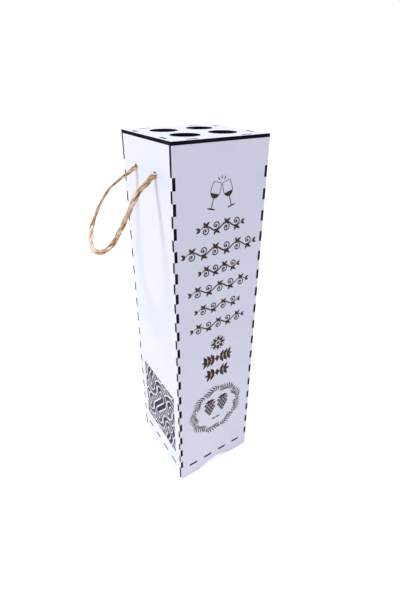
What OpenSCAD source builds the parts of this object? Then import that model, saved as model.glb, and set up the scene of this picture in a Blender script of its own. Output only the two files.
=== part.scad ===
// A tall wooden gift box for one wine bottle, cut from white-faced fibreboard sheet.
// Four finger-jointed walls stand on arched feet round a tabbed floor. The lid is a flat plate
// with four round holes and a collar of four strips below it, and it lifts straight off.
// A jute rope loop is knotted through two holes high on the left wall.
// +Z is up, -Y is the engraved front, and the origin is under the middle of the box.

/* [Box] */
// Outer width and depth of the box
box_w = 96; // [94:0.5:100]
// Height from the table to the top of the lid
box_h = 387; // [340:1:420]
// Thickness of the sheet that every panel is cut from
sheet = 3; // [2.8:0.1:3.2]

/* [Finger joints] */
// Length of one finger, of one gap and of one tab
finger_l = 10.3; // [10:0.1:10.5]
// Least height of the plain strip between the top finger and the lid
top_strip = 18; // [12:1:23]

/* [Floor] */
// Height of the underside of the floor plate
floor_z = 15.9; // [14:0.1:16.5]
// Number of tabs along one side of the floor plate
tab_count = 4; // [2:1:4]

/* [Feet] */
// Width of the arch between two feet
arch_span = 60; // [50:1:64]
// Height of the arch at mid width
arch_rise = 8; // [6:0.5:10]
// Radius of the outer bottom corners of the front and back walls
foot_r = 4; // [2:0.5:6]

/* [Lid] */
// Diameter of each round lid hole
lid_hole_d = 26; // [22:0.5:28]
// Distance between the lid holes' centres
lid_hole_pitch = 38; // [36:0.5:39]
// Depth of the collar below the lid plate
collar_h = 18; // [12:1:18]
// Clearance between the collar and the walls
collar_gap = 0.25; // [0.2:0.05:0.4]
// Distance between the two tabs of one collar strip
collar_tab_pitch = 53.2; // [48:0.1:56]

/* [Rope] */
// Diameter of the jute rope
rope_d = 5; // [4:0.5:5.5]
// Diameter of the rope holes in the left wall
rope_hole_d = 6; // [5.6:0.2:7]
// Distance between the two rope holes
rope_hole_pitch = 38; // [36:1:40]
// Depth of the rope holes below the top of the lid
rope_drop = 29.5; // [28:0.5:32]
// Diameter of the knot inside each hole
knot_d = 12; // [9:0.5:13]
// Length of the rope's tail below each knot
tail_l = 16; // [8:1:20]

/* [Tracery window] */
// Width of the window
window_w = 73; // [68:1:74]
// Height of the window
window_h = 85.5; // [78:0.5:86]
// Height of the window's lower edge above the table
window_z = 36.6; // [30:0.2:60]
// Distance between the middles of two bars
bar_pitch = 6.6; // [6.4:0.1:7]
// Width of the bars left between the cut-outs
web = 1.5; // [1.3:0.1:1.8]

/* [Hidden] */
$fn = 64;

white_board = "#f3f3f8";
jute = "#c9a77e";
cut_past = 1;

half_w = box_w / 2;
inner_w = box_w - 2 * sheet;
wall_h = box_h - sheet;
finger_pitch = 2 * finger_l;
finger_z0 = finger_pitch;
finger_count = floor((wall_h - finger_z0 - top_strip + finger_l) / finger_pitch);

// The arch is two arcs of one radius that meet in line at a quarter of its span.
arch_quarter = arch_span / 4;
arch_half_rise = arch_rise / 2;
arch_r = (arch_quarter * arch_quarter + arch_half_rise * arch_half_rise) / arch_rise;

collar_w = inner_w - 2 * collar_gap;
collar_outer = collar_w / 2;

// Tracery: three slanting bars lie in the middle of the window, among square tiles. Each tile has
// a fan of rings round one corner and short rings round the opposite one, so the rings of two
// neighbours always meet, and the ones beside the bars end in short posts. The list holds half
// the tiles, as [pitches along the bars, pitches across them, quarter turns of the fan], and a half
// turn gives the rest.
bar_angle = 50;
ring_count = 3;
tile = ring_count * bar_pitch;
bar_l = 4 * bar_pitch;
strip_lap = 0.1;
fan_tiles = [
    [3.5, 0, 3], [6.5, 0, 0],
    [-7.5, 3, 2], [-4.5, 3, 3], [-1.5, 3, 2], [1.5, 3, 3], [4.5, 3, 0], [7.5, 3, 0],
    [-2.5, 6, 3], [0.5, 6, 1], [3.5, 6, 3], [1.5, 9, 1]
];

// The rope leaves a hole, turns and sags at a point just outside the wall, and hangs in a loop.
rope_r = rope_d / 2;
rope_proud = 1;
rope_gap = 0.3;
rope_sag = 1.6;
hole_y = rope_hole_pitch / 2;
hole_z = box_h - rope_drop;
pivot_out = rope_proud + rope_gap + rope_r;
knot_x = -half_w + sheet + knot_d / 2;
rope_sides = 10;
cap_angles = [80, 50, 25];

// Route of the hanging loop: [out from the wall, to the rear, down from the holes].
loop_route = [
    [pivot_out, -hole_y, rope_sag], [9.2, -20.9, 5.4], [18.5, -24.2, 11.3], [25.8, -27.3, 19.8],
    [32.5, -28.9, 29.3], [38.7, -28.7, 39.1], [44, -26.1, 48.6], [49.2, -19.9, 55.9],
    [52.6, -10.3, 60.1], [53.1, 0.6, 61.2], [51.5, 11.3, 59.4], [48.1, 20.3, 54.3],
    [43.2, 26.6, 46.5], [37.2, 29.9, 38], [31.3, 30, 28.6], [25.1, 27.8, 19.7],
    [18.1, 24, 12.1], [9.7, 20.4, 5.9], [pivot_out, hole_y, rope_sag]
];

// --- Outlines -------------------------------------------------------------------------------

// The gap under one wall: a round crown that runs out into the feet in a reversed curve.
module arch_gap() {
    intersection() {
        translate([0, arch_rise - arch_r]) circle(r = arch_r, $fn = 256);
        translate([-arch_quarter, -cut_past]) square([2 * arch_quarter, arch_rise + 2 * cut_past]);
    }
    for (side = [-1, 1])
        difference() {
            translate([side * 1.5 * arch_quarter, arch_half_rise / 2])
                square([arch_quarter + 0.01, arch_half_rise], center = true);
            translate([side * 2 * arch_quarter, arch_r]) circle(r = arch_r, $fn = 256);
        }
    translate([-arch_span / 2, -cut_past]) square([arch_span, cut_past]);
}

// What is cut away outside a rounded lower corner at x = 0.
module corner_cut() {
    difference() {
        translate([-cut_past, -cut_past]) square(foot_r + cut_past);
        translate([foot_r, foot_r]) circle(r = foot_r);
    }
}

// A row of tabs or slots along X, centred on the origin.
module tab_row(depth) {
    for (i = [0:tab_count - 1])
        translate([(i - (tab_count - 1) / 2) * finger_pitch - finger_l / 2, 0])
            square([finger_l, depth]);
}

// The side walls' fingers along one corner, or the notches that take them.
module finger_row(width) {
    for (k = [0:finger_count - 1])
        translate([0, finger_z0 + k * finger_pitch]) square([width, finger_l]);
}

// Full-width wall with notches down both edges: the front and the back.
module notched_wall() {
    difference() {
        translate([-half_w, 0]) square([box_w, wall_h]);
        translate([-half_w - cut_past, 0]) finger_row(sheet + cut_past);
        translate([half_w - sheet, 0]) finger_row(sheet + cut_past);
        translate([0, floor_z]) tab_row(sheet);
        arch_gap();
        translate([-half_w, 0]) corner_cut();
        translate([half_w, 0]) mirror([1, 0]) corner_cut();
    }
}

// Narrower wall with fingers that fill those notches: the left and the right.
module fingered_wall() {
    difference() {
        union() {
            translate([-inner_w / 2, 0]) square([inner_w, wall_h]);
            translate([-half_w, 0]) finger_row(sheet + cut_past);
            translate([inner_w / 2 - cut_past, 0]) finger_row(sheet + cut_past);
        }
        translate([0, floor_z]) tab_row(sheet);
        arch_gap();
    }
}

// --- Tracery window -------------------------------------------------------------------------

// Three rings round the origin, half a pitch from it and a pitch apart.
module fan_rings() {
    for (k = [0:ring_count - 1])
        difference() {
            circle(r = (k + 0.5) * bar_pitch + web / 2);
            circle(r = (k + 0.5) * bar_pitch - web / 2);
        }
}

// One tile, centred on the origin: its fan from the lower left corner, and behind the fan's last
// ring the short rings from the upper right corner. It laps over its neighbours by a little.
module fan_tile() {
    intersection() {
        square(tile + 2 * strip_lap, center = true);
        union() {
            translate([-tile, -tile] / 2) fan_rings();
            difference() {
                translate([tile, tile] / 2) fan_rings();
                translate([-tile, -tile] / 2) circle(r = tile - bar_pitch / 2);
            }
        }
    }
}

// The bars along X, the posts above and below them and the tiles round them, centred on the origin.
module tracery_strips() {
    for (k = [-1:1])
        translate([0, k * bar_pitch]) square([bar_l + 2 * strip_lap, web], center = true);
    for (turn = [0, 180])
        rotate(turn) {
            for (k = [-1.5:1.5])
                translate([k * bar_pitch - web / 2, bar_pitch])
                    square([web, bar_pitch / 2 + strip_lap]);
            for (t = fan_tiles)
                translate([t[0], t[1]] * bar_pitch) rotate(90 * t[2]) fan_tile();
        }
}

// All the cut-outs of the window, centred on X with the lower edge on Y = 0.
module tracery_cutouts() {
    difference() {
        translate([-window_w / 2, 0]) square([window_w, window_h]);
        translate([0, window_h / 2]) rotate(bar_angle) tracery_strips();
    }
}

// --- Walls and floor ------------------------------------------------------------------------

module front_panel() {
    color(white_board)
        translate([0, -half_w + sheet, 0]) rotate([90, 0, 0])
            linear_extrude(sheet) notched_wall();
}

module back_panel() {
    color(white_board)
        translate([0, half_w, 0]) rotate([90, 0, 0])
            linear_extrude(sheet) notched_wall();
}

// The outline is drawn as seen from inside, so the tracery is mirrored to read from outside.
module left_panel() {
    color(white_board)
        translate([-half_w, 0, 0]) rotate([90, 0, 90])
            linear_extrude(sheet) difference() {
                fingered_wall();
                translate([0, window_z]) mirror([1, 0]) tracery_cutouts();
                for (side = [-1, 1])
                    translate([side * hole_y, hole_z]) circle(d = rope_hole_d);
            }
}

module right_panel() {
    color(white_board)
        translate([half_w - sheet, 0, 0]) rotate([90, 0, 90])
            linear_extrude(sheet) fingered_wall();
}

module bottom_plate() {
    color(white_board)
        translate([0, 0, floor_z])
            linear_extrude(sheet) {
                square(inner_w, center = true);
                for (turn = [0:90:270])
                    rotate(turn) translate([0, inner_w / 2 - cut_past]) tab_row(sheet + cut_past);
            }
}

// --- Lid ------------------------------------------------------------------------------------

// The two tabs of one collar strip, or the slots that take them.
module collar_tabs(depth) {
    for (side = [-1, 1])
        translate([side * collar_tab_pitch / 2 - finger_l / 2, 0]) square([finger_l, depth]);
}

module lid_plate() {
    color(white_board)
        translate([0, 0, wall_h])
            linear_extrude(sheet) difference() {
                square(box_w, center = true);
                for (x = [-1, 1], y = [-1, 1])
                    translate([x, y] * lid_hole_pitch / 2) circle(d = lid_hole_d);
                for (turn = [0:90:270])
                    rotate(turn) translate([0, collar_outer - sheet]) collar_tabs(sheet);
            }
}

// One collar strip in its own plane: tabs up, the lid plate's underside at Y = 0.
module collar_strip(width) {
    translate([-width / 2, -collar_h]) square([width, collar_h]);
    translate([0, -cut_past]) collar_tabs(sheet + cut_past);
}

module lid_collar_front() {
    color(white_board)
        translate([0, -collar_outer + sheet, wall_h]) rotate([90, 0, 0])
            linear_extrude(sheet) collar_strip(collar_w);
}

module lid_collar_back() {
    color(white_board)
        translate([0, collar_outer, wall_h]) rotate([90, 0, 0])
            linear_extrude(sheet) collar_strip(collar_w);
}

module lid_collar_left() {
    color(white_board)
        translate([-collar_outer, 0, wall_h]) rotate([90, 0, 90])
            linear_extrude(sheet) collar_strip(collar_w - 2 * sheet);
}

module lid_collar_right() {
    color(white_board)
        translate([collar_outer - sheet, 0, wall_h]) rotate([90, 0, 90])
            linear_extrude(sheet) collar_strip(collar_w - 2 * sheet);
}

// --- Rope -----------------------------------------------------------------------------------

function unit(v) = v / norm(v);

// A route point in the box's frame.
function placed(p) = [-half_w - p[0], p[1], hole_z - p[2]];

function route_tangent(pts, i) =
    i == 0 ? [-1, 0, 0]
    : i == len(pts) - 1 ? [1, 0, 0]
    : unit(pts[i + 1] - pts[i - 1]);

// One ring round a point. The loop never runs along [-1, 0, 1], so that gives every ring its
// start and the tube doesn't twist.
function ring(centre, along, r) =
    let (side = unit(cross(along, [-1, 0, 1])), up = cross(side, along))
    [for (k = [0:rope_sides - 1])
        let (a = 360 * k / rope_sides) centre + r * (cos(a) * side + sin(a) * up)];

// Rings of a closed tube: along the route, with a round cap beyond each end.
function tube_rings(pts) =
    let (last = len(pts) - 1)
    [
        for (a = cap_angles)
            ring(pts[0] + [rope_r * sin(a), 0, 0], [-1, 0, 0], rope_r * cos(a)),
        for (i = [0:last]) ring(pts[i], route_tangent(pts, i), rope_r),
        for (n = [1:len(cap_angles)])
            let (a = cap_angles[len(cap_angles) - n])
            ring(pts[last] + [rope_r * sin(a), 0, 0], [1, 0, 0], rope_r * cos(a))
    ];

// Side faces between two rings, and the two end faces.
function tube_faces(count) =
    let (n = rope_sides)
    [
        [for (k = [0:n - 1]) k],
        [for (k = [n - 1:-1:0]) (count - 1) * n + k],
        for (i = [0:count - 2], k = [0:n - 1])
            let (a = i * n + k, b = i * n + (k + 1) % n)
            each [[a, a + n, b], [b, a + n, b + n]]
    ];

module rope_loop() {
    rings = tube_rings([for (p = loop_route) placed(p)]);
    color(jute)
        polyhedron(
            points = [for (r = rings) each r],
            faces = tube_faces(len(rings))
        );
}

// The rope inside one hole, its knot against the wall's inner face, and the tail below it.
module rope_end(y) {
    color(jute)
        translate([0, y, hole_z]) {
            translate([-half_w - rope_proud, 0, 0]) rotate([0, 90, 0])
                cylinder(d = rope_d, h = half_w + rope_proud + knot_x);
            translate([knot_x, 0, 0]) sphere(d = knot_d);
            translate([knot_x, 0, -knot_d / 2 - tail_l])
                cylinder(d = rope_d, h = knot_d / 2 + tail_l);
        }
}

module rope_end_front() {
    rope_end(-hole_y);
}

module rope_end_rear() {
    rope_end(hole_y);
}

front_panel();
back_panel();
left_panel();
right_panel();
bottom_plate();
lid_plate();
lid_collar_front();
lid_collar_back();
lid_collar_left();
lid_collar_right();
rope_loop();
rope_end_front();
rope_end_rear();
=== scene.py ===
"""Looks of a tall wooden gift box for one wine bottle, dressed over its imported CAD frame.

The box is cut by laser from white-faced fibreboard, so its faces are smooth and cool white and its
edges are burnt nearly black. The front carries an engraved design of the maker's own: two glasses,
rows of vine scrolls, leaf sprays and a wreath round two bunches of grapes. A jute rope of three
strands hangs in a loop from two holes in the left wall.

Lengths in the classes are millimetres in the frame's own axes: X to the right, Y to the rear, Z up.
They turn into metres where a mesh is made.
"""

import logging
import math
from collections.abc import Callable
from dataclasses import dataclass, field
from enum import Enum
from typing import Any

import bmesh
import bpy
import numpy as np
from mathutils import Euler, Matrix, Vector, geometry

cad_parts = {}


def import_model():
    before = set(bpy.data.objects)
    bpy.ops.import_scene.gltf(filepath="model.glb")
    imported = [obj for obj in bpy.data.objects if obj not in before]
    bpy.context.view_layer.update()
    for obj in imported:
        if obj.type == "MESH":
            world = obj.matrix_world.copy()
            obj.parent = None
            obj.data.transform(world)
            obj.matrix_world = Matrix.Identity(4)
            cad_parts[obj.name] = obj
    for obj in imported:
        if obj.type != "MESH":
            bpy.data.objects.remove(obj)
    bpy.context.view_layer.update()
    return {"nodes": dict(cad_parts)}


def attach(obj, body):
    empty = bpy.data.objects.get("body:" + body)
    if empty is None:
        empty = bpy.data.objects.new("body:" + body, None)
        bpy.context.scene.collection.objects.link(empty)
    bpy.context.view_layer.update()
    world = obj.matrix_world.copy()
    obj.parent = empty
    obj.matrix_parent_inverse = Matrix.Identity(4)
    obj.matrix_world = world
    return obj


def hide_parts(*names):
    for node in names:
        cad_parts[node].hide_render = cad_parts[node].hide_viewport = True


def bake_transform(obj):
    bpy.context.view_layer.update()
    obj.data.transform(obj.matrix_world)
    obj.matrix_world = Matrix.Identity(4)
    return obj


LOG = logging.getLogger("wine_box")
MM = 0.001


# --- Helpers ------------------------------------------------------------------------------------


def linear(hex_colour: str) -> tuple[float, float, float, float]:
    """Turn an sRGB hex colour into linear red, green, blue and a full alpha.

    Each part c below 0.04045 becomes c / 12.92, and any other ((c + 0.055) / 1.055) to the 2.4.

    Args:
        hex_colour: Colour such as "#c9a77e".

    Returns:
        Linear colour with alpha 1.
    """
    parts = [int(hex_colour[i : i + 2], 16) / 255 for i in (1, 3, 5)]
    red, green, blue = [c / 12.92 if c <= 0.04045 else ((c + 0.055) / 1.055) ** 2.4 for c in parts]
    return (red, green, blue, 1.0)


def add_node(
    tree: bpy.types.NodeTree, kind: str, inputs: dict[Any, Any] | None = None, **settings: Any
) -> Any:
    """Add a shader node with its settings, its input values and its links.

    Args:
        tree: Node tree that takes the node.
        kind: Blender's type name of the node, without its first word, ShaderNode.
        inputs: Input name or number to a value, or to an output socket that is linked to it.
        **settings: Properties of the node, such as its operation.

    Returns:
        The new node.
    """
    node = tree.nodes.new("ShaderNode" + kind)
    for name, value in settings.items():
        setattr(node, name, value)
    for key, value in (inputs or {}).items():
        if isinstance(value, bpy.types.NodeSocket):
            tree.links.new(value, node.inputs[key])
        else:
            node.inputs[key].default_value = value
    return node


def spread(tree: bpy.types.NodeTree, fine: Any, share: float, coarse: Any, span: tuple[float, float]) -> Any:
    """Lay a fine pattern over a coarse one and bring out the contrast.

    The sum of the coarse pattern and `share` of the fine one runs from 0 at the span's low end to
    1 at its high end.

    Args:
        tree: Node tree that takes the nodes.
        fine: Output with the fine pattern.
        share: Weight of the fine pattern.
        coarse: Output with the coarse pattern.
        span: Sums that become 0 and 1.

    Returns:
        Output from 0 to 1.
    """
    both = add_node(tree, "Math", {0: fine, 1: share, 2: coarse}, operation="MULTIPLY_ADD")
    level = {"Value": both.outputs[0], "From Min": span[0], "From Max": span[1]}
    return add_node(tree, "MapRange", level).outputs[0]


def new_material(name: str) -> tuple[bpy.types.Material, bpy.types.NodeTree]:
    """Make an empty node material.

    Args:
        name: Name of the material.

    Returns:
        The material and its node tree.
    """
    material = bpy.data.materials.new(name)
    material.use_nodes = True
    material.node_tree.nodes.clear()
    return material, material.node_tree


def unit(vectors: np.ndarray) -> np.ndarray:
    """Scale vectors to length one along the last axis."""
    return vectors / np.linalg.norm(vectors, axis=-1, keepdims=True)


def smooth_path(points: np.ndarray, step: float) -> np.ndarray:
    """Round a route off and space it evenly.

    A cubic runs between each two points, with half the chord of the neighbours as its slope. Its
    samples are then spaced evenly by the length along them.

    Args:
        points: Route points, one row each.
        step: Wanted distance between stations.

    Returns:
        Stations along the rounded route.
    """
    padded = np.vstack([2 * points[0] - points[1], points, 2 * points[-1] - points[-2]])
    before, start, end, after = padded[:-3], padded[1:-2], padded[2:-1], padded[3:]
    t = np.linspace(0, 1, 24, endpoint=False)[None, :, None]
    slope_a = (end - before)[:, None] / 2
    slope_b = (after - start)[:, None] / 2
    curve = (
        (2 * t**3 - 3 * t**2 + 1) * start[:, None]
        + (t**3 - 2 * t**2 + t) * slope_a
        + (3 * t**2 - 2 * t**3) * end[:, None]
        + (t**3 - t**2) * slope_b
    ).reshape(-1, points.shape[1])
    curve = np.vstack([curve, points[-1]])
    run = np.concatenate([[0], np.cumsum(np.linalg.norm(np.diff(curve, axis=0), axis=1))])
    even = np.linspace(0, run[-1], max(4, int(round(run[-1] / step))) + 1)
    return np.stack([np.interp(even, run, column) for column in curve.T], axis=1)


def grid_faces(rows: int, columns: int, first: int = 0) -> np.ndarray:
    """Quads of a tube whose rings have `columns` points, outward for rings that turn left-handed.

    Args:
        rows: Number of rings.
        columns: Points in a ring.
        first: Number of the first point.

    Returns:
        Four point numbers for each quad.
    """
    i, k = np.meshgrid(np.arange(rows - 1), np.arange(columns), indexing="ij")
    here, there = i * columns + k, i * columns + (k + 1) % columns
    return first + np.stack([here, there, there + columns, here + columns], axis=-1).reshape(-1, 4)


def make_piece(
    name: str,
    points: np.ndarray,
    faces: list,
    materials: list,
    picks: np.ndarray | None = None,
    smooth: bool = False,
) -> bpy.types.Object:
    """Make a mesh piece from points in millimetres.

    Args:
        name: Name of the piece.
        points: Points in millimetres.
        faces: Point numbers of each face.
        materials: Materials of the piece's slots.
        picks: Slot number of each face.
        smooth: Whether the faces are shaded smooth.

    Returns:
        The new object, at the origin.
    """
    mesh = bpy.data.meshes.new(name)
    mesh.from_pydata((points * MM).tolist(), [], faces)
    for material in materials:
        mesh.materials.append(material)
    if picks is not None:
        mesh.polygons.foreach_set("material_index", picks.astype(np.int32))
    mesh.polygons.foreach_set("use_smooth", np.full(len(faces), smooth))
    piece = bpy.data.objects.new(name, mesh)
    bpy.context.collection.objects.link(piece)
    return piece


# --- Finishes -----------------------------------------------------------------------------------


class Axis(Enum):
    """Direction of a board's thickness."""

    X = "X"
    Y = "Y"
    Z = "Z"


@dataclass(frozen=True)
class MelamineBoard:
    """White melamine-faced fibreboard cut by laser.

    The pressed face gives a smooth, faintly mottled cool white with a soft gloss. The cut edge
    gives a matt, nearly black brown with fine lines across the thickness, paler within the
    tracery's area.
    """

    name: str = "melamine_board"
    face_hex: str = "#f3f3f9"
    mottle_hex: str = "#eaebf4"
    char_hex: str = "#10070c"
    toast_hex: str = "#33252a"
    fine_char_hex: str = "#8c858a"
    fine_toast_hex: str = "#b5aeb2"
    fine_middle: tuple[float, float] = (0.0, 79.35)
    fine_reach: tuple[float, float] = (36.8, 43.1)
    mottle_mm: float = 60.0
    grain_mm: float = 0.9
    line_mm: float = 0.45
    patch_mm: float = 22.0
    line_stretch: float = 0.08

    def fine_cut(self, tree: bpy.types.NodeTree, position: Any) -> Any:
        """Add the mask of the tracery's area, whose cut edges are paler.

        Args:
            tree: Node tree that takes the nodes.
            position: Output with the place in metres.

        Returns:
            Output that is 1 within `fine_reach` of `fine_middle`, across and up, and 0 beyond.
        """
        split = add_node(tree, "SeparateXYZ", {0: position})
        inside = []
        for letter, middle, reach in zip("YZ", self.fine_middle, self.fine_reach):
            near = {0: split.outputs[letter], 1: middle * MM, 2: reach * MM}
            inside.append(add_node(tree, "Math", near, operation="COMPARE").outputs[0])
        both = add_node(tree, "Math", {0: inside[0], 1: inside[1]}, operation="MULTIPLY")
        return both.outputs[0]

    def material(self, axis: Axis, has_tracery: bool = False) -> bpy.types.Material:
        """Make the board's material for one direction of its thickness.

        Args:
            axis: Direction of the thickness.
            has_tracery: Whether the board has the tracery, whose cuts are paler.

        Returns:
            The material: white where the surface faces along that axis, burnt elsewhere.
        """
        ending = "_tracery" if has_tracery else ""
        material, tree = new_material(f"{self.name}_{axis.value.lower()}{ending}")
        place = add_node(tree, "TexCoord")
        split = add_node(tree, "SeparateXYZ", {0: place.outputs["Normal"]})
        along = add_node(tree, "Math", {0: split.outputs[axis.value]}, operation="ABSOLUTE")
        is_face = add_node(tree, "Math", {0: along.outputs[0], 1: 0.7}, operation="GREATER_THAN")

        spot = place.outputs["Object"]
        across = {"X": 1.0, "Y": 1.0, "Z": 1.0}
        across[axis.value] = self.line_stretch
        squash = {0: spot, 1: tuple(across.values())}
        stretched = add_node(tree, "VectorMath", squash, operation="MULTIPLY").outputs[0]
        patterns = []
        for way, size, detail in (
            (spot, self.mottle_mm, 3.0),
            (spot, self.grain_mm, 2.0),
            (stretched, self.line_mm, 2.0),
            (spot, self.patch_mm, 1.0),
        ):
            look = {"Vector": way, "Scale": 1 / (size * MM), "Detail": detail}
            patterns.append(add_node(tree, "TexNoise", look).outputs["Fac"])
        mottle, grain, lines, patches = patterns
        shade = spread(tree, grain, 0.35, mottle, (0.45, 0.95))
        white = add_node(
            tree,
            "Mix",
            {"Factor": shade, 6: linear(self.face_hex), 7: linear(self.mottle_hex)},
            data_type="RGBA",
        )

        pale = spread(tree, lines, 0.5, patches, (0.72, 1.1))
        burnt = add_node(
            tree,
            "Mix",
            {"Factor": pale, 6: linear(self.char_hex), 7: linear(self.toast_hex)},
            data_type="RGBA",
        )
        if has_tracery:
            tracery_burn = add_node(
                tree,
                "Mix",
                {"Factor": pale, 6: linear(self.fine_char_hex), 7: linear(self.fine_toast_hex)},
                data_type="RGBA",
            )
            fine = self.fine_cut(tree, place.outputs["Object"])
            burnt = add_node(
                tree,
                "Mix",
                {"Factor": fine, 6: burnt.outputs[2], 7: tracery_burn.outputs[2]},
                data_type="RGBA",
            )
        colour = add_node(
            tree,
            "Mix",
            {"Factor": is_face.outputs[0], 6: burnt.outputs[2], 7: white.outputs[2]},
            data_type="RGBA",
        )

        face_rough = add_node(tree, "MapRange", {"Value": grain, "To Min": 0.36, "To Max": 0.46})
        rough = add_node(
            tree,
            "Mix",
            {"Factor": is_face.outputs[0], 2: 0.88, 3: face_rough.outputs[0]},
            data_type="FLOAT",
        )
        relief = add_node(
            tree,
            "Mix",
            {"Factor": is_face.outputs[0], 2: lines, 3: grain},
            data_type="FLOAT",
        )
        depth = add_node(
            tree,
            "MapRange",
            {"Value": is_face.outputs[0], "To Min": 0.00012, "To Max": 0.000008},
        )
        bump = add_node(
            tree,
            "Bump",
            {"Height": relief.outputs[0], "Distance": depth.outputs[0], "Strength": 0.6},
        )
        resin = add_node(tree, "Math", {0: is_face.outputs[0], 1: 0.55}, operation="MULTIPLY")
        shader = add_node(
            tree,
            "BsdfPrincipled",
            {
                "Base Color": colour.outputs[2],
                "Roughness": rough.outputs[0],
                "Normal": bump.outputs[0],
                "IOR": 1.48,
                "Specular IOR Level": 0.07,
                "Coat Weight": resin.outputs[0],
                "Coat Roughness": 0.34,
                "Coat IOR": 1.48,
            },
        )
        add_node(tree, "OutputMaterial", {0: shader.outputs[0]})
        return material


@dataclass(frozen=True)
class LaserEngraving:
    """Fibreboard laid bare by a laser raster: matt dark brown, with the beam's fine level lines."""

    deep_hex: str = "#38261c"
    light_hex: str = "#644e3d"
    raster_mm: float = 0.35
    patch_mm: float = 14.0
    line_stretch: float = 0.12

    def material(self) -> bpy.types.Material:
        """Make the engraving's material.

        Returns:
            The material.
        """
        material, tree = new_material("laser_engraving")
        place = add_node(tree, "TexCoord")
        raster = add_node(
            tree,
            "VectorMath",
            {0: place.outputs["Object"], 1: (self.line_stretch, self.line_stretch, 1.0)},
            operation="MULTIPLY",
        )
        patterns = []
        for way, size in ((raster.outputs[0], self.raster_mm), (place.outputs["Object"], self.patch_mm)):
            look = {"Vector": way, "Scale": 1 / (size * MM), "Detail": 2.0}
            patterns.append(add_node(tree, "TexNoise", look).outputs["Fac"])
        lines, patches = patterns
        shade = spread(tree, lines, 0.6, patches, (0.55, 1.05))
        colour = add_node(
            tree,
            "Mix",
            {"Factor": shade, 6: linear(self.deep_hex), 7: linear(self.light_hex)},
            data_type="RGBA",
        )
        bump = add_node(tree, "Bump", {"Height": lines, "Distance": 0.0001, "Strength": 0.7})
        shader = add_node(
            tree,
            "BsdfPrincipled",
            {
                "Base Color": colour.outputs[2],
                "Roughness": 0.92,
                "Normal": bump.outputs[0],
                "Specular IOR Level": 0.1,
            },
        )
        add_node(tree, "OutputMaterial", {0: shader.outputs[0]})
        return material


@dataclass(frozen=True)
class JuteFibre:
    """Twisted jute: dry tan fibres with straw-pale streaks, and painted shade between the strands.

    The pattern follows the attribute `fibre`, which holds millimetres along, round and out from a
    strand's middle, so the streaks run with the strand. A second attribute is 1 in the groove
    between two strands and 0 on the outside, and darkens the colour there as painted shade. The
    stretch round the loop's lowest bend carries a painted highlight: paler wholly within `bend_core`
    of its middle along the rope, and not at all past `bend_reach`, with weaker painted shade there.
    """

    pale_hex: str = "#fbe3c4"
    mid_hex: str = "#ae7842"
    dark_hex: str = "#62391c"
    streak_mm: float = 0.55
    band_mm: float = 5.0
    streak_stretch: float = 0.07
    bend_at: float = 113.0
    bend_core: float = 8.0
    bend_reach: float = 24.0

    def material(self, name: str, is_hair: bool = False) -> bpy.types.Material:
        """Make the rope's material.

        Args:
            name: Name of the material.
            is_hair: Whether it is for the loose hairs, which are paler.

        Returns:
            The material.
        """
        material, tree = new_material(name)
        fibre = add_node(tree, "Attribute", attribute_name="fibre")
        groove_shade = add_node(tree, "Attribute", attribute_name="groove_shade")
        run = add_node(
            tree,
            "VectorMath",
            {0: fibre.outputs["Vector"], 1: (self.streak_stretch, 1.0, 1.0)},
            operation="MULTIPLY",
        )
        streaks = add_node(
            tree,
            "TexNoise",
            {"Vector": run.outputs[0], "Scale": 1 / self.streak_mm, "Detail": 3.0},
        )
        bands = add_node(
            tree,
            "TexNoise",
            {"Vector": fibre.outputs["Vector"], "Scale": 1 / self.band_mm, "Detail": 2.0},
        )
        light = spread(tree, bands.outputs["Fac"], 1.0, streaks.outputs["Fac"], (0.86, 1.24))
        # Painted highlight round the loop's lowest bend: the tone there is raised towards the pale colour.
        place = add_node(tree, "SeparateXYZ", {0: fibre.outputs["Vector"]})
        ahead = add_node(tree, "Math", {0: place.outputs["X"], 1: self.bend_at}, operation="SUBTRACT")
        away = add_node(tree, "Math", {0: ahead.outputs[0]}, operation="ABSOLUTE")
        bend_highlight = add_node(
            tree,
            "MapRange",
            {"Value": away.outputs[0], "From Min": self.bend_reach, "From Max": self.bend_core},
            interpolation_type="SMOOTHSTEP",
        )
        lightest = add_node(
            tree,
            "Math",
            {0: bend_highlight.outputs[0], 1: 0.85, 2: light},
            operation="MULTIPLY_ADD",
            use_clamp=True,
        )
        body = add_node(
            tree,
            "Mix",
            {
                "Factor": lightest.outputs[0],
                6: linear(self.pale_hex if is_hair else self.mid_hex),
                7: linear(self.pale_hex),
            },
            data_type="RGBA",
        )
        # Painted shade in the grooves between strands: the colour turns dark where the second attribute is
        # high.
        shadow = add_node(
            tree,
            "MapRange",
            {"Value": groove_shade.outputs["Fac"], "From Min": 0.3, "From Max": 0.8, "To Max": 0.92},
        )
        # Under the painted highlight the painted groove shade drops to 0.35 of its strength.
        kept = add_node(tree, "MapRange", {"Value": bend_highlight.outputs[0], "To Min": 1.0, "To Max": 0.35})
        depth = add_node(tree, "Math", {0: shadow.outputs[0], 1: kept.outputs[0]}, operation="MULTIPLY")
        colour = add_node(
            tree,
            "Mix",
            {"Factor": depth.outputs[0], 6: body.outputs[2], 7: linear(self.dark_hex)},
            data_type="RGBA",
        )
        bump = add_node(tree, "Bump", {"Height": streaks.outputs["Fac"], "Distance": 0.0004, "Strength": 0.8})
        shader = add_node(
            tree,
            "BsdfPrincipled",
            {
                "Base Color": colour.outputs[2],
                "Roughness": 0.85,
                "Normal": bump.outputs[0],
                "Specular IOR Level": 0.2,
                "Sheen Weight": 0.25,
                "Sheen Roughness": 0.5,
            },
        )
        add_node(tree, "OutputMaterial", {0: shader.outputs[0]})
        return material


# --- Engraved front -----------------------------------------------------------------------------


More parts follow.
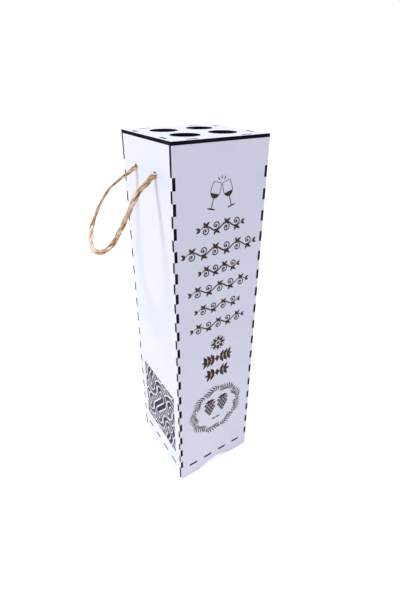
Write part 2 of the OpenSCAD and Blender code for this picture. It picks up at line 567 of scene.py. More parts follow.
def stroke(path: np.ndarray, width: float, ends: float = 0.35) -> np.ndarray:
    """Outline a drawn line.

    Each side lies half the width from the path. The width runs as the root of sin from `ends` of
    itself at both ends to the whole of it in the middle.

    Args:
        path: Points of the line.
        width: Greatest width.
        ends: Share of the width left at the ends.

    Returns:
        Closed outline, anticlockwise.
    """
    step = np.gradient(path, axis=0)
    normal = unit(np.stack([-step[:, 1], step[:, 0]], axis=1))
    swell = np.sqrt(np.abs(np.sin(np.linspace(0, math.pi, len(path)))))[:, None]
    half = width / 2 * (ends + (1 - ends) * swell)
    return np.vstack([path - half * normal, (path + half * normal)[::-1]])


def leaf(base: tuple[float, float], angle: float, length: float, width: float) -> np.ndarray:
    """Outline a pointed leaf whose half width is sin of pi times t to the 0.7, at t along it.

    Args:
        base: Place of its stalk.
        angle: Direction in degrees.
        length: Length of the leaf.
        width: Width of the leaf.

    Returns:
        Closed outline, anticlockwise.
    """
    t = np.linspace(0, 1, 8)
    half = width / 2 * np.sin(math.pi * t**0.7)
    half[[0, -1]] = 0
    outline = np.stack([np.r_[t, t[-2:0:-1]] * length, np.r_[-half, half[-2:0:-1]]], axis=1)
    return moved([outline], base, angle)[0]


def disc(centre: tuple[float, float], radius: float) -> np.ndarray:
    """Outline a small round dot, anticlockwise."""
    angle = np.linspace(0, 2 * math.pi, 14, endpoint=False)
    return np.asarray(centre) + radius * np.stack([np.cos(angle), np.sin(angle)], axis=1)


def moved(shapes: list, to: tuple[float, float], angle: float = 0.0, flip: bool = False) -> list:
    """Turn outlines about the origin and then move them.

    Args:
        shapes: Closed outlines.
        to: Where the origin goes.
        angle: Turn in degrees.
        flip: Whether the outlines are first mirrored from left to right.

    Returns:
        The moved outlines.
    """
    a = math.radians(angle)
    turn = np.array([[math.cos(a), math.sin(a)], [-math.sin(a), math.cos(a)]])
    return [(s[::-1] * [-1, 1] if flip else s) @ turn + to for s in shapes]


@dataclass
class EngravedDesign:
    """The front's engraved ornament, in millimetres across from the middle and up from the table.

    From the top it has a toast of two glasses, six light rows of vine scroll, a rosette, two bold
    leaf sprays, and a wreath with two bunches of grapes in it.
    """

    glasses_at: tuple[float, float] = (-1.0, 341.5)
    light_rows: tuple = (
        (-0.5, 313.0, 44, 15.0),
        (-0.5, 291.5, 74, 15.5),
        (-1.0, 271.5, 40, 14.0),
        (-0.5, 252.0, 62, 15.0),
        (-1.5, 231.0, 47, 14.0),
        (-1.0, 210.5, 58, 14.5),
    )
    rosette_at: tuple[float, float] = (0.0, 185.0)
    bold_rows: tuple = ((-0.5, 165.0, 39, 15.5), (0.0, 145.5, 33, 16.0))
    ring_at: tuple[float, float] = (0.0, 91.0)
    ring_radius: float = 29.6
    line: float = 1.55

    def glass(self) -> list:
        """Draw one wine glass with its foot on the origin.

        The bowl's half width is a quarter ellipse up to its widest point and then draws in by a
        straight line to the rim.

        Returns:
            Outlines of the foot, stem, bowl and wine.
        """
        low, wide, rim, half = 9.5, 15.5, 23.0, 4.7
        rise = np.linspace(0, math.pi / 2, 10)
        side = np.stack([half * np.sin(rise), wide - (wide - low) * np.cos(rise)], axis=1)
        top = np.array([[half * 0.97, (wide + rim) / 2], [half * 0.82, rim]])
        right = np.vstack([side, top])
        bowl = np.vstack([(right * [-1, 1])[::-1], right[1:]])
        level = side[:, 1] < 14.0
        wine = np.vstack([(side[level] * [-1, 1])[:0:-1], side[level]]) * [0.93, 1.0]
        foot = stroke(np.stack([np.linspace(-4.3, 4.3, 9), np.zeros(9)], axis=1), 1.5, 0.3)
        stem = stroke(np.stack([np.zeros(5), np.linspace(0.2, low + 0.4, 5)], axis=1), 0.9, 1.0)
        brim_path = np.stack([np.linspace(-half * 0.82, half * 0.82, 5), np.full(5, rim)], axis=1)
        brim = stroke(brim_path, 0.5, 1.0)
        return [foot, stem, stroke(bowl, 0.65, 1.0), brim, wine]

    def toast(self) -> list:
        """Draw two glasses that meet at the rim, with three rays above.

        Returns:
            Outlines of both glasses and the rays, centred on the origin.
        """
        left = moved(self.glass(), (-10.6, -11.5), -16)
        right = moved(self.glass(), (10.6, -11.5), 16, flip=True)
        rays = [leaf((x, 12.6 - abs(x) * 0.3), 90 - x * 14, 4.0, 1.1) for x in (-2.2, 0.0, 2.2)]
        return [*left, *right, *rays]

    def scroll(self, width: float, height: float) -> list:
        """Draw a row of vine scroll.

        The stem is a sine wave. Under each crest a tendril turns 1.3 times inward to a berry, and
        two leaves stand on the crest.

        Args:
            width: Length of the row.
            height: Height of the row.

        Returns:
            Outlines of the row, centred on the origin.
        """
        waves = max(3, round(width / (0.8 * height)))
        half = width / waves
        x = np.linspace(-width / 2, width / 2, 9 * waves + 1)
        rise = 0.19 * height
        shapes = [stroke(np.stack([x, rise * np.sin(math.pi * (x + width / 2) / half)], axis=1), self.line)]
        t = np.linspace(0, 1, 18)
        for i in range(waves):
            up = 1 if i % 2 == 0 else -1
            middle = -width / 2 + (i + 0.5) * half
            angle = math.radians(118) - 2 * math.pi * 1.3 * t
            radius = 0.27 * height * (1 - 0.72 * t)
            curl = np.stack([radius * np.cos(angle), up * (radius * np.sin(angle) - 0.13 * height)], axis=1)
            shapes.append(stroke(curl + [middle, 0], self.line * 0.8, 0.5))
            shapes.append(disc((middle, -up * 0.13 * height), 0.065 * height))
            for lean, size in ((38, 0.38), (118, 0.31)):
                shapes.append(leaf((middle, up * rise), up * lean, size * height, 0.17 * height))
        for side in (0, 180):
            end = (width / 2 if side == 0 else -width / 2, 0.0)
            shapes += [leaf(end, side + lean, 0.32 * height, 0.18 * height) for lean in (-32, 32)]
        return shapes

    def spray(self, width: float, height: float) -> list:
        """Draw a bold row: paired leaves that lean away from a diamond in the middle.

        Args:
            width: Length of the row.
            height: Height of the row.

        Returns:
            Outlines of the row, centred on the origin.
        """
        diamond = np.array([[0, -0.3], [0.2, 0], [0, 0.3], [-0.2, 0]]) * height
        stem = np.stack([np.linspace(-width / 2 + 2, width / 2 - 2, 12), np.zeros(12)], axis=1)
        shapes = [diamond, stroke(stem, self.line)]
        half = []
        for x in np.arange(0.26 * height, width / 2 - 0.3 * height, 0.29 * height):
            half += [leaf((x, 0.0), lean, 0.6 * height, 0.26 * height) for lean in (-62, 62)]
        half.append(leaf((width / 2 - 0.4 * height, 0.0), 0, 0.4 * height, 0.22 * height))
        return shapes + half + moved(half, (0, 0), flip=True)

    def rosette(self, size: float) -> list:
        """Draw eight petals round a dot, with a small dot between each two.

        Args:
            size: Width over the petals.

        Returns:
            Outlines of the rosette, centred on the origin.
        """
        shapes = [disc((0.0, 0.0), 0.1 * size)]
        for turn in range(0, 360, 45):
            a = math.radians(turn)
            base = (0.14 * size * math.cos(a), 0.14 * size * math.sin(a))
            shapes.append(leaf(base, turn, 0.37 * size, 0.2 * size))
            b = a + math.pi / 8
            shapes.append(disc((0.43 * size * math.cos(b), 0.43 * size * math.sin(b)), 0.045 * size))
        return shapes

    def ring(self) -> list:
        """Draw the wreath: nine sprigs laid nose to tail round a circle.

        A sprig's stem follows the circle and sways by the height of 1.3 times sin. Its leaves
        stand in pairs and are longest half way along it, the inner ones shorter by a fifth.

        Returns:
            Outlines of the wreath, centred on the origin.
        """
        shapes = []
        sprigs, pairs, sway = 9, 7, 1.3
        span = 2 * math.pi / sprigs
        for k in range(sprigs):
            t = np.linspace(0.03, 0.9, 14)
            angle = (k + t) * span
            radius = self.ring_radius + sway * np.sin(2 * math.pi * t)
            stem = radius[:, None] * np.stack([np.cos(angle), np.sin(angle)], axis=1)
            shapes.append(stroke(stem, 0.6))
            for i in range(pairs):
                t_leaf = 0.08 + 0.8 * i / (pairs - 1)
                at = (k + t_leaf) * span
                reach = self.ring_radius + sway * math.sin(2 * math.pi * t_leaf)
                base = (reach * math.cos(at), reach * math.sin(at))
                length = 5.2 + 2.4 * math.sin(math.pi * t_leaf)
                for lean, share in ((-50, 1.0), (58, 0.8)):
                    shapes.append(leaf(base, math.degrees(at) + 90 + lean, share * length, 1.6))
            for beyond, size in ((0.0, 0.8), (3.3, 0.55), (-3.0, 0.5)):
                berry = (k + 0.98) * span
                reach = self.ring_radius + beyond
                shapes.append(disc((reach * math.cos(berry), reach * math.sin(berry)), size))
        return shapes

    def grapes(self) -> list:
        """Draw a bunch of grapes: rows of dots that narrow to one, under a stalk with four leaves.

        Returns:
            Outlines of the bunch, with its top row on the origin.
        """
        gap = 3.75
        shapes = []
        for row, count in enumerate((4, 3, 4, 3, 2, 1)):
            for i in range(count):
                shapes.append(disc(((i - (count - 1) / 2) * gap, -row * gap * 0.84), 1.75))
        stem = np.array([[0.0, 0.6], [0.3, 2.4], [0.1, 4.2], [-0.9, 5.8]])
        shapes.append(stroke(smooth_path(stem, 0.8), 1.2, 0.8))
        shapes += [leaf((0.1, 2.9), a, s, 3.4) for a, s in ((12, 7.2), (52, 5.4), (168, 7.2), (128, 5.0))]
        return shapes

    def shapes(self) -> list:
        """Draw the whole design.

        Returns:
            Closed anticlockwise outlines, which may overlap.
        """
        drawn = moved(self.toast(), self.glasses_at)
        for x, z, width, height in self.light_rows:
            drawn += moved(self.scroll(width, height), (x, z))
        drawn += moved(self.rosette(18.5), self.rosette_at)
        for x, z, width, height in self.bold_rows:
            drawn += moved(self.spray(width, height), (x, z))
        x, z = self.ring_at
        drawn += moved(self.ring(), self.ring_at)
        for side in (-1, 1):
            drawn += moved(self.grapes(), (x + side * 8.6, z + 11.0))
        drawn += moved([leaf((0.0, 0.0), a, 6.4, 2.4) for a in (0, 180)], (x, z - 14.0))
        return drawn


@dataclass
class EngravedFront:
    """The front wall: the part's own outline, with the design sunk into its outer face."""

    half_width: float = 48.0
    height: float = 384.0
    sheet: float = 3.0
    finger: float = 10.3
    finger_count: int = 17
    tab_count: int = 4
    slot_z: float = 15.9
    arch_span: float = 60.0
    arch_rise: float = 8.0
    foot_radius: float = 4.0
    depth: float = 0.25
    design: EngravedDesign = field(default_factory=EngravedDesign)

    def outline(self) -> np.ndarray:
        """Draw the wall's edge.

        The arch is a round crown over its middle half, and the same arc turned over on both
        sides. The notches repeat the part's finger joints.

        Returns:
            Closed outline, anticlockwise.
        """
        quarter = self.arch_span / 4
        radius = (quarter**2 + (self.arch_rise / 2) ** 2) / self.arch_rise
        x = np.linspace(-2 * quarter, 2 * quarter, 49)
        crown = self.arch_rise - radius + np.sqrt(np.maximum(radius**2 - x**2, 0))
        flank = radius - np.sqrt(radius**2 - (np.abs(x) - 2 * quarter) ** 2)
        arch = np.stack([x, np.where(np.abs(x) <= quarter, crown, flank)], axis=1)
        angle = np.linspace(-math.pi / 2, 0, 9)
        corner = self.foot_radius * np.stack([np.cos(angle), 1 + np.sin(angle)], axis=1)
        corner[:, 0] += self.half_width - self.foot_radius
        low = 2 * self.finger * np.arange(1, self.finger_count + 1)
        inner = self.half_width - self.sheet
        notch = np.stack(
            [
                np.broadcast_to([self.half_width, inner, inner, self.half_width], (self.finger_count, 4)),
                low[:, None] + [0, 0, self.finger, self.finger],
            ],
            axis=-1,
        ).reshape(-1, 2)
        right = np.vstack([corner, notch, [self.half_width, self.height]])
        return np.vstack([arch, right, right[::-1] * [-1, 1]])

    def slots(self) -> list:
        """Draw the slots that take the floor's tabs.

        Returns:
            Closed outlines, anticlockwise.
        """
        box = np.array([[0, 0], [self.finger, 0], [self.finger, self.sheet], [0, self.sheet]])
        first = -(self.tab_count - 1) * self.finger - self.finger / 2
        return [box + [first + 2 * self.finger * i, self.slot_z] for i in range(self.tab_count)]

    def cut(self, sunk: list) -> tuple[np.ndarray, np.ndarray, np.ndarray]:
        """Fill the wall's face with triangles that keep to every outline.

        Args:
            sunk: Outlines of the engraved shapes.

        Returns:
            Points, triangles on the wall, and whether each is engraved.
        """
        loops = [self.outline(), *self.slots(), *sunk]
        ends = np.cumsum([len(loop) for loop in loops])
        numbers = [list(range(end - len(loop), end)) for loop, end in zip(loops, ends)]
        flat = [Vector(p) for p in np.vstack(loops).tolist()]
        points, _, triangles, _, _, within = geometry.delaunay_2d_cdt(flat, [], numbers, 0, 1e-4)
        holes = set(range(1, self.tab_count + 1))
        kept = np.array([0 in ids and not holes.intersection(ids) for ids in within])
        deep = np.array([max(ids, default=0) > self.tab_count for ids in within])
        return np.array([tuple(p) for p in points]), np.array(triangles)[kept], deep[kept]

    def build(self, board: bpy.types.Material, engraving: bpy.types.Material) -> bpy.types.Object:
        """Make the wall.

        Triangles inside the design lie `depth` below the face, and a low wall stands along each
        edge that only one sunk triangle has.

        Args:
            board: Material of the sheet.
            engraving: Material of the sunk parts.

        Returns:
            The piece.
        """
        face_y = -self.half_width
        points, triangles, deep = self.cut(self.design.shapes())
        back_points, back_triangles, _ = self.cut([])
        edges = np.vstack([triangles[deep][:, pair] for pair in ([0, 1], [1, 2], [2, 0])])
        count = len(points)
        rim = edges[~np.isin(edges[:, 0] * count + edges[:, 1], edges[:, 1] * count + edges[:, 0])]
        rim_walls = np.stack([rim[:, 0], rim[:, 1], rim[:, 1] + count, rim[:, 0] + count], axis=1)
        loops = [self.outline(), *(slot[::-1] for slot in self.slots())]
        edge_points = np.vstack([np.vstack(loops)] * 2)
        behind = len(edge_points) // 2
        edge_y = np.repeat([face_y, face_y + self.sheet], behind)
        first = 2 * count + len(back_points)
        walls = []
        for loop in loops:
            here = first + np.arange(len(loop))
            there = np.roll(here, -1)
            walls.append(np.stack([here, here + behind, there + behind, there], axis=1))
            first += len(loop)
        flat = np.vstack([points, points, back_points, edge_points])
        depths = np.concatenate(
            [
                np.full(count, face_y),
                np.full(count, face_y + self.depth),
                np.full(len(back_points), face_y + self.sheet),
                edge_y,
            ]
        )
        solid = np.stack([flat[:, 0], depths, flat[:, 1]], axis=1)
        groups = [
            triangles[~deep],
            back_triangles[:, ::-1] + 2 * count,
            np.vstack(walls),
            triangles[deep] + count,
            rim_walls,
        ]
        faces = [face for group in groups for face in group.tolist()]
        picks = np.repeat([0, 0, 0, 1, 1], [len(group) for group in groups])
        piece = make_piece("engraved_front", solid, faces, [board, engraving], picks)
        mesh = bmesh.new()
        mesh.from_mesh(piece.data)
        bmesh.ops.remove_doubles(mesh, verts=mesh.verts, dist=2e-6)
        bmesh.ops.delete(mesh, geom=[v for v in mesh.verts if not v.link_faces], context="VERTS")
        mesh.to_mesh(piece.data)
        mesh.free()
        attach(piece, "box")
        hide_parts("front_panel")
        return piece


# --- Rope ---------------------------------------------------------------------------------------


@dataclass
class StrandedRope:
    """Surface of a rope of three loosely laid strands with stray hairs, carried along a path."""

    diameter: float = 5.0
    lay_pitch: float = 40.0
    strand_count: int = 3
    around: int = 24
    step: float = 0.8
    hair_mm: float = 0.16
    hairs_per_mm: float = 4.5
    hair_proud: float = 1.3
    strand_share: float = 0.55
    strand_reach: float = 0.48
    ridge_wind: float = 6.5
    tuft_hairs: int = 70
    seed: int = 7

    def frames(self, line: np.ndarray) -> tuple[np.ndarray, np.ndarray, np.ndarray]:
        """Carry a side direction along a line without letting it twist.

        At each station the last side direction is laid flat on the plane across the line.

        Args:
            line: Stations of the line.

        Returns:
            Direction along, side and up at each station.
        """
        along = unit(np.gradient(line, axis=0))
        side = unit(np.cross(along[0], [0.3, 0.2, 1.0]))
        sides = []
        for direction in along:
            side = side - (side @ direction) * direction
            side = side / np.linalg.norm(side)
            sides.append(side)
        side_array = np.array(sides)
        return along, side_array, np.cross(along, side_array)

    def strands(self, line: np.ndarray, squeeze: np.ndarray, flat: np.ndarray) -> dict[str, np.ndarray]:
        """Work out the points of all the strands.

        A strand's middle circles the line once in each lay pitch, a little early or late by turns,
        at `strand_reach` of the rope's radius. Its radius is `strand_share` of the rope's, with low
        ridges that wind along it. Last, each point's offset from the line loses part of its share along the
        station's flat direction, which presses the rope flat.

        Args:
            line: Stations of the rope's middle.
            squeeze: Thickness at each station as a share of the full one.
            flat: Direction in which each station is pressed, as long as the share that it loses.

        Returns:
            Arrays over strand, station and angle: points, and the two attributes.
        """
        run = np.arange(len(line)) * np.linalg.norm(np.diff(line, axis=0), axis=1).mean()
        _, side, up = self.frames(line)
        start = np.arange(self.strand_count)[:, None] * 2 * math.pi / self.strand_count
        stray = 0.5 * np.sin(run / 8.3) + 0.35 * np.sin(run / 3.9 + 1.0 + start)
        turn = (start + 2 * math.pi * run / self.lay_pitch + stray)[..., None]
        radial = np.cos(turn) * side + np.sin(turn) * up
        wander = 1 + 0.09 * np.sin(run / 7.7 + start * 2.3) + 0.05 * np.sin(run / 3.1 + start * 5.1)
        reach = (self.diameter / 2 * squeeze * wander)[..., None]
        middle = line + self.strand_reach * reach * radial
        ahead = unit(np.gradient(middle, axis=1))
        out = unit(radial - (radial * ahead).sum(-1, keepdims=True) * ahead)
        across = np.cross(ahead, out)
        angle = np.linspace(0, 2 * math.pi, self.around, endpoint=False)
        wind = angle - (run[None, :, None] / self.ridge_wind + start[..., None])
        slip = 2.0 * np.sin(run[None, :, None] / 5.0)
        ridge = 1 + 0.06 * np.cos(5 * wind) + 0.035 * np.cos(8 * wind + slip)
        size = self.strand_share * reach * ridge
        ring = np.cos(angle)[:, None] * out[:, :, None] + np.sin(angle)[:, None] * across[:, :, None]
        offset = middle[:, :, None] + size[..., None] * ring - line[:, None]
        share = np.linalg.norm(flat, axis=1, keepdims=True)
        way = (flat / np.maximum(share, 1e-9))[:, None]
        offset = offset - share[:, None] * (offset * way).sum(-1, keepdims=True) * way
        points = line[:, None] + offset
        spread = np.broadcast_to(angle, size.shape)
        width = self.strand_share * self.diameter / 2
        fibre = np.stack(
            [
                np.broadcast_to(run[None, :, None], size.shape),
                width * np.cos(spread) + start[..., None] * 11,
                width * np.sin(spread),
            ],
            axis=-1,
        )
        # The second attribute marks each strand's inner side, in the groove between strands, for painted
        # shade.
        return {"points": points, "fibre": fibre, "groove_shade": (1 - np.cos(spread)) / 2, "out": ring}

    def hairs(self, strands: dict[str, np.ndarray], tuft: bool) -> dict[str, np.ndarray]:
        """Grow loose hairs on the strands.

        A hair runs t along its direction and t squared along a random bend, and thins to its tip.
        Its tip stands no more than `hair_proud` off the strand.

        Args:
            strands: Result of `strands`.
            tuft: Whether the last station carries a frayed tuft.

        Returns:
            Points of each hair's rings, as hair, ring and corner.
        """
        rng = np.random.default_rng(self.seed)
        points, out = strands["points"], strands["out"]
        count_strands, stations, around = points.shape[:3]
        length = (stations - 1) * self.step
        count = int(length * self.hairs_per_mm)
        which = (
            rng.integers(0, count_strands, count),
            rng.integers(1, stations - 2, count),
            rng.integers(0, around, count),
        )
        ahead = points[which[0], which[1] + 1, which[2]] - points[which]
        way = rng.choice([-1.0, 1.0], count)[:, None]
        lift = rng.uniform(0.15, 0.75, count)[:, None]
        direction = unit(way * unit(ahead) + lift * out[which] + rng.normal(0, 0.25, (count, 3)))
        reach = rng.uniform(0.9, 3.1, count)[:, None]
        if tuft:
            ends = self.tuft_hairs
            picked = (
                rng.integers(0, count_strands, ends),
                np.full(ends, stations - 2),
                rng.integers(0, around, ends),
            )
            tip = points[picked[0], picked[1] + 1, picked[2]] - points[picked]
            frayed = unit(unit(tip) + rng.normal(0, 0.22, (ends, 3)))
            which = tuple(np.concatenate([a, b]) for a, b in zip(which, picked))
            direction = np.vstack([direction, frayed])
            reach = np.vstack([reach, rng.uniform(2.0, 4.5, (ends, 1))])
            lift = np.vstack([lift, np.zeros((ends, 1))])
        bend = rng.normal(0, 0.22, direction.shape) - 0.2 * lift * out[which]
        along = unit(points[which[0], which[1] + 1, which[2]] - points[which])
        tip_way = direction + bend
        sideways = tip_way - (tip_way * along).sum(1, keepdims=True) * along
        proud = reach * np.linalg.norm(sideways, axis=1, keepdims=True)
        reach = reach * np.minimum(1, self.hair_proud / proud)
        t = np.linspace(0, 1, 4)[None, :, None]
        root = points[which] - 0.15 * out[which]
        middle = root[:, None] + reach[:, None] * (t * direction[:, None] + t**2 * bend[:, None])
        side = unit(np.cross(direction, [0.31, 0.52, 0.79]))
        up = np.cross(direction, side)
        corner = np.arange(3) * 2 * math.pi / 3
        ring = np.cos(corner)[:, None] * side[:, None] + np.sin(corner)[:, None] * up[:, None]
        thin = self.hair_mm / 2 * (1 - 0.85 * t[..., None])
        return {"points": middle[:, :, None] + thin * ring[:, None], "root": which}

    def piece(
        self, name: str, route: np.ndarray, materials: list, shape_of: Callable, tuft: bool = False
    ) -> tuple[bpy.types.Object, np.ndarray]:
        """Make a length of rope.

        Args:
            name: Name of the piece.
            route: Route points in millimetres.
            materials: Strand material and hair material.
            shape_of: Function from stations to the squeeze and the flat direction at each.
            tuft: Whether its last end is frayed.

        Returns:
            The piece and its stations.
        """
        line = smooth_path(route, self.step)
        strands = self.strands(line, *shape_of(line))
        shape = strands["points"].shape
        per_strand = shape[1] * shape[2]
        points = [strands["points"].reshape(-1, 3)]
        faces = [grid_faces(shape[1], shape[2], k * per_strand) for k in range(shape[0])]
        caps = []
        for k in range(shape[0]):
            first = np.arange(shape[2]) + k * per_strand
            caps.append(first[::-1].tolist())
            caps.append((first + per_strand - shape[2]).tolist())
        hair = self.hairs(strands, tuft)
        hair_shape = hair["points"].shape
        base = shape[0] * per_strand
        points.append(hair["points"].reshape(-1, 3))
        one = grid_faces(hair_shape[1], 3)
        starts = base + np.arange(hair_shape[0]) * hair_shape[1] * 3
        hair_quads = (starts[:, None, None] + one).reshape(-1, 4)
        tips = (starts[:, None] + (hair_shape[1] - 1) * 3 + np.arange(3)).tolist()
        quads = np.vstack(faces)
        all_faces = quads.tolist() + caps + hair_quads.tolist() + tips
        picks = np.repeat([0, 1], [len(quads) + len(caps), len(hair_quads) + len(tips)])
        piece = make_piece(name, np.vstack(points), all_faces, materials, picks, smooth=True)

        repeat = hair_shape[1] * 3
        hair_fibre = np.repeat(strands["fibre"][hair["root"]], repeat, axis=0)
        fibre = np.vstack([strands["fibre"].reshape(-1, 3), hair_fibre])
        # Painted groove shade on the strands; none on the hairs.
        groove_shade = np.concatenate([strands["groove_shade"].ravel(), np.zeros(hair_shape[0] * repeat)])
        held = piece.data.attributes.new("fibre", "FLOAT_VECTOR", "POINT")
        held.data.foreach_set("vector", fibre.ravel())
        held = piece.data.attributes.new("groove_shade", "FLOAT", "POINT")
        held.data.foreach_set("value", groove_shade)
        return piece, line


@dataclass
class RopeHandle:
    """The jute rope: its hanging loop, and the two knotted ends inside the left wall."""

    wall_x: float = -48.0
    inner_x: float = -45.0
    hole_y: float = 19.0
    hole_z: float = 357.5
    length: float = 0.203
    front_flat: tuple[float, float, float] = (0.48, 0.76, -0.45)
    rear_flat: tuple[float, float, float] = (-0.69, 0.64, 0.34)
    loop_flat: tuple = (
        (0.0, 0.0, 0.96),
        (0.06, 0.15, 0.96),
        (0.16, 0.35, 0.94),
        (0.42, 0.4, 0.94),
        (0.5, 0.2, 0.96),
        (0.56, 0.05, 1.0),
        (0.63, 0.05, 1.0),
        (0.72, 0.4, 0.92),
        (0.86, 0.52, 0.88),
        (0.95, 0.2, 0.94),
        (1.0, 0.0, 0.96),
    )
    turn_from: float = 0.4
    turn_over: float = 0.24
    rope: StrandedRope = field(default_factory=StrandedRope)
    finish: JuteFibre = field(default_factory=JuteFibre)

    def loop_route(self) -> np.ndarray:
        """Give the hanging loop's route.

        The points are the part's own: out from the wall, to the rear, down from the holes. The
        first and the last are inside the wall, where the rope rests on the hole's lower rim.

        Returns:
            Route points in millimetres.
        """
        route = np.array(
            [
                [-1.0, -19, 0.4],
                [3.8, -19, 1.6],
                [9.2, -20.9, 5.4],
                [18.5, -24.2, 11.3],
                [25.8, -27.3, 19.8],
                [32.5, -28.9, 29.3],
                [38.7, -28.7, 39.1],
                [44.0, -26.1, 48.6],
                [49.2, -19.9, 55.9],
                [52.6, -10.3, 60.1],
                [53.1, 0.6, 61.2],
                [51.5, 11.3, 59.4],
                [48.1, 20.3, 54.3],
                [43.2, 26.6, 46.5],
                [37.2, 29.9, 38.0],
                [31.3, 30.0, 28.6],
                [25.1, 27.8, 19.7],
                [18.1, 24.0, 12.1],
                [9.7, 20.4, 5.9],
                [3.8, 19, 1.6],
                [-1.0, 19, 0.4],
            ]
        )
        out, rear, down = route.T
        return np.stack([self.wall_x - out, rear, self.hole_z - down], axis=1)

    def end_route(self, y: float) -> np.ndarray:
        """Give the route of one knotted end.

        The rope runs in through the hole and ties an overhand knot, which is a trefoil cut open:
        sin t + 2 sin 2t to the side and cos t - 2 cos 2t up, with sin 3t in and out. The tail
        hangs down from it.

        Args:
            y: Place of the hole.

        Returns:
            Route points in millimetres.
        """
        t = np.linspace(-math.pi + 0.62, math.pi - 0.5, 22)
        size = 1.42
        knot = np.stack(
            [
                5.2 + 1.9 * np.sin(3 * t),
                size * (np.sin(t) + 2 * np.sin(2 * t)),
                size * (np.cos(t) - 2 * np.cos(2 * t)),
            ],
            axis=1,
        )
        lead = np.array([[-2.4, 0, 0], [0.3, 0, 0], [2.0, -0.4, -2.2]])
        tail = np.array([[7.2, 1.4, -8.6], [7.6, 1.8, -12.5], [7.0, 1.2, -17.0], [6.2, 0.4, -21.5]])
        return np.vstack([lead, knot, tail]) + [self.inner_x, y, self.hole_z]

    def loop_shape(self, line: np.ndarray) -> tuple[np.ndarray, np.ndarray]:
        """Press the loop flat: by `loop_flat` of its thickness at each share of its length.

        The direction turns from `front_flat` to `rear_flat` as the loop rounds its lowest point.

        Args:
            line: Stations of the loop.

        Returns:
            Squeeze, and the flat direction times the share that is lost.
        """
        t = np.linspace(0, 1, len(line))
        places, shares, widths = np.array(self.loop_flat).T
        blend = np.clip((t - self.turn_from) / self.turn_over, 0, 1)
        blend = (blend**2 * (3 - 2 * blend))[:, None]
        way = (1 - blend) * np.array(self.front_flat) + blend * np.array(self.rear_flat)
        along = unit(np.gradient(line, axis=0))
        way = unit(way - (way * along).sum(1, keepdims=True) * along)
        return np.interp(t, places, widths), np.interp(t, places, shares)[:, None] * way

    def knot_shape(self, line: np.ndarray) -> tuple[np.ndarray, np.ndarray]:
        """Draw the rope tighter in its knot: 0.8 of its thickness there, and full in the tail."""
        below = (self.hole_z - 7.0 - line[:, 2]) / 6.0
        return 0.8 + 0.2 * np.clip(below, 0, 1), np.zeros_like(line)

    def build(self) -> list[bpy.types.Object]:
        """Returns:
            The three pieces.
        """
        strand = self.finish.material("twisted_jute")
        hair = self.finish.material("loose_jute_hairs", is_hair=True)
        loop, line = self.rope.piece("jute_loop", self.loop_route(), [strand, hair], self.loop_shape)
        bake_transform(loop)
        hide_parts("rope_loop")
        ends = []
        for name, y in (("front", -self.hole_y), ("rear", self.hole_y)):
            end, _ = self.rope.piece(
                f"jute_knot_{name}",
                self.end_route(y),
                [strand, hair],
                self.knot_shape,
                tuft=True,
            )
            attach(end, "box")
            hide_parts(f"rope_end_{name}")
            ends.append(end)
        return [loop, *ends]


# --- Studio -------------------------------------------------------------------------------------


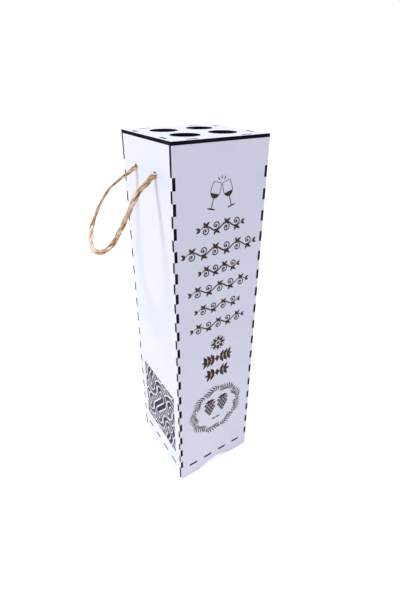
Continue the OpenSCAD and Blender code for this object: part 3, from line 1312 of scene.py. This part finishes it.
@dataclass
class Studio:
    """Camera at the photograph's place, a pale floor, a pale surround and soft light."""

    camera_at: tuple[float, float, float] = (-0.17897, -0.29252, 0.42477)
    camera_turn: tuple[float, float, float] = (63.4656, -0.0128, -32.2161)
    lens: float = 21.909
    shift: tuple[float, float] = (0.0038, -0.0571)
    sky_hex: str = "#d8daf0"
    sky_strength: float = 0.59
    floor_hex: str = "#f3efe8"
    floor_glow: float = 0.68
    floor_radius: float = 12000.0
    floor_sides: int = 96

    def camera(self) -> None:
        """Set up the camera."""
        data = bpy.data.cameras.new("camera")
        data.lens = self.lens
        data.sensor_width = 36.0
        data.shift_x, data.shift_y = self.shift
        data.clip_start, data.clip_end = 0.01, 50.0
        camera = bpy.data.objects.new("camera", data)
        camera.location = self.camera_at
        camera.rotation_euler = Euler([math.radians(a) for a in self.camera_turn], "XYZ")
        bpy.context.collection.objects.link(camera)
        bpy.context.scene.camera = camera

    def seen_white(self, tree: bpy.types.NodeTree) -> Any:
        """Add the mask of rays that should find a white background.

        Args:
            tree: Node tree that takes the nodes.

        Returns:
            Output that is 1 for camera, glossy and transmission rays.
        """
        path = add_node(tree, "LightPath")
        first = add_node(
            tree,
            "Math",
            {0: path.outputs["Is Camera Ray"], 1: path.outputs["Is Glossy Ray"]},
            operation="MAXIMUM",
        )
        both = add_node(
            tree,
            "Math",
            {0: first.outputs[0], 1: path.outputs["Is Transmission Ray"]},
            operation="MAXIMUM",
        )
        return both.outputs[0]

    def surround(self) -> None:
        """Set the world: soft cool light on the object, and white where it is seen."""
        world = bpy.data.worlds.new("surround")
        world.use_nodes = True
        tree = world.node_tree
        tree.nodes.clear()
        sky = {"Color": linear(self.sky_hex), "Strength": self.sky_strength}
        light = add_node(tree, "Background", sky)
        white = add_node(tree, "Background", {"Color": (1, 1, 1, 1), "Strength": 1.0})
        choice = {0: self.seen_white(tree), 1: light.outputs[0], 2: white.outputs[0]}
        mix = add_node(tree, "MixShader", choice)
        add_node(tree, "OutputWorld", {0: mix.outputs[0]})
        bpy.context.scene.world = world

    def floor(self) -> None:
        """Lay the floor: a wide pale disc that shows white where no shadow falls."""
        material, tree = new_material("studio_floor")
        paint = add_node(tree, "BsdfDiffuse", {"Color": linear(self.floor_hex)})
        lift = add_node(tree, "Math", {0: self.seen_white(tree), 1: self.floor_glow}, operation="MULTIPLY")
        glow = add_node(tree, "Emission", {"Color": (1, 1, 1, 1), "Strength": lift.outputs[0]})
        both = add_node(tree, "AddShader", {0: paint.outputs[0], 1: glow.outputs[0]})
        add_node(tree, "OutputMaterial", {0: both.outputs[0]})
        angle = np.linspace(0, 2 * math.pi, self.floor_sides, endpoint=False)
        rim = self.floor_radius * np.stack([np.cos(angle), np.sin(angle), np.zeros(self.floor_sides)], axis=1)
        make_piece("studio_floor", rim, [list(range(self.floor_sides))], [material])

    def lamp(self, name: str, at: tuple, aim: tuple, size: float, power: float, hex_colour: str) -> None:
        """Add a square soft lamp.

        Args:
            name: Name of the lamp.
            at: Place in metres.
            aim: Point that it faces.
            size: Side of the square in metres.
            power: Power in watts.
            hex_colour: Colour of the light.
        """
        data = bpy.data.lights.new(name, "AREA")
        data.shape = "SQUARE"
        data.size = size
        data.energy = power
        data.color = linear(hex_colour)[:3]
        lamp = bpy.data.objects.new(name, data)
        lamp.location = at
        way = np.array(aim) - np.array(at)
        lamp.rotation_euler = Euler(
            (math.atan2(math.hypot(way[0], way[1]), -way[2]), 0, math.atan2(-way[0], way[1])), "XYZ"
        )
        bpy.context.collection.objects.link(lamp)

    def build(self) -> None:
        """Set up the whole studio."""
        self.camera()
        self.surround()
        self.floor()
        self.lamp("left_window", (-1.07, 0.08, 1.92), (-0.05, 0, 0.25), 0.42, 25.5, "#f2f8ff")
        self.lamp("left_screen", (-1.3, -0.2, 0.45), (0, 0, 0.1), 1.3, 1.8, "#f2fbfd")
        self.lamp("front_fill", (0.3, -1.6, 0.9), (0, 0, 0.2), 1.2, 4.6, "#e6e6fb")
        bpy.context.scene.view_settings.view_transform = "Standard"


# --- Assembly -----------------------------------------------------------------------------------


def main() -> None:
    """Build the pieces in order."""
    logging.basicConfig(level=logging.INFO, format="%(message)s")
    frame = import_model()
    Studio().build()
    LOG.info("studio: camera, floor, surround and lamps")
    for piece in RopeHandle().build():
        LOG.info("rope: %s, %d faces", piece.name, len(piece.data.polygons))
    board = MelamineBoard()
    materials = {axis: board.material(axis) for axis in Axis}
    front = EngravedFront().build(materials[Axis.Y], LaserEngraving().material())
    LOG.info("front: %s, %d faces", front.name, len(front.data.polygons))
    # The back and right walls take a copy of the board whose burnt edges are paler.
    pale_edges = MelamineBoard(name="melamine_board_light_cut", char_hex="#2c2428", toast_hex="#564a4f")
    paler = {axis: pale_edges.material(axis) for axis in (Axis.X, Axis.Y)}
    dressing = (
        (("lid_collar_front", "lid_collar_back"), materials[Axis.Y]),
        (("left_panel",), board.material(Axis.X, has_tracery=True)),
        (("lid_collar_left", "lid_collar_right"), materials[Axis.X]),
        (("bottom_plate", "lid_plate"), materials[Axis.Z]),
        (("back_panel",), paler[Axis.Y]),
        (("right_panel",), paler[Axis.X]),
    )
    for names, material in dressing:
        for name in names:
            for slot in frame["nodes"][name].material_slots:
                slot.material = material
            LOG.info("board: %s", name)


if __name__ == "__main__":
    main()
